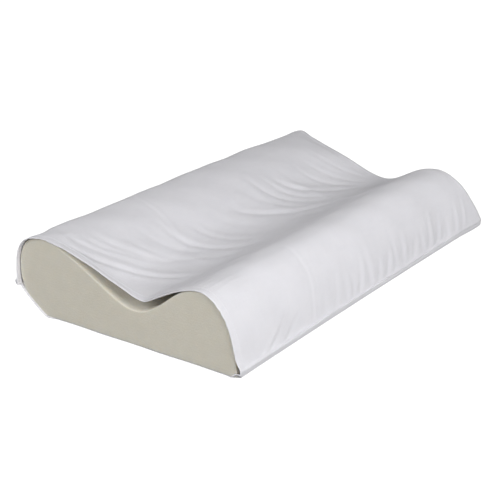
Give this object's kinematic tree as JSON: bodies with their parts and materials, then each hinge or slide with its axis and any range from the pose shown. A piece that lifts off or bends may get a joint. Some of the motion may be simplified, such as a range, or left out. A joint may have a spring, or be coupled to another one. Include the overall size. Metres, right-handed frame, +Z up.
{
  "type": "contoured neck pillow",
  "caption": "Contoured foam neck pillow: a small and a large rounded lobe with a valley between, in a removable woven cover open at one end.",
  "frame": {"origin": "middle of the plan box on the surface that the pillow rests on", "axes": "+X along the pillow from the cover's open end to its closed end, +Y from the small lobe to the large lobe, +Z up"},
  "size_m": [0.607, 0.3468, 0.1052],
  "materials": {
    "foam": "cream open-cell polyurethane foam, cut face",
    "cotton": "white plain-weave polyester and cotton cloth",
    "thread": "white spun polyester sewing thread",
    "label": "blank white satin ribbon"
  },
  "bodies": {
    "core": {"foam_core": "foam"},
    "cover": {"cover_top_panel": "cotton", "cover_bottom_panel": "cotton", "cover_end_panel": "cotton", "hem_thread_top": "thread", "hem_thread_bottom": "thread", "front_seam_thread": "thread", "back_seam_thread": "thread", "end_seam_thread": "thread", "care_label": "label"}
  },
  "joints": [
    {"name": "cover_slide", "type": "slide", "parent": "core", "child": "cover", "axis": [1, 0, 0], "range_m": [0, 0.6]}
  ]
}
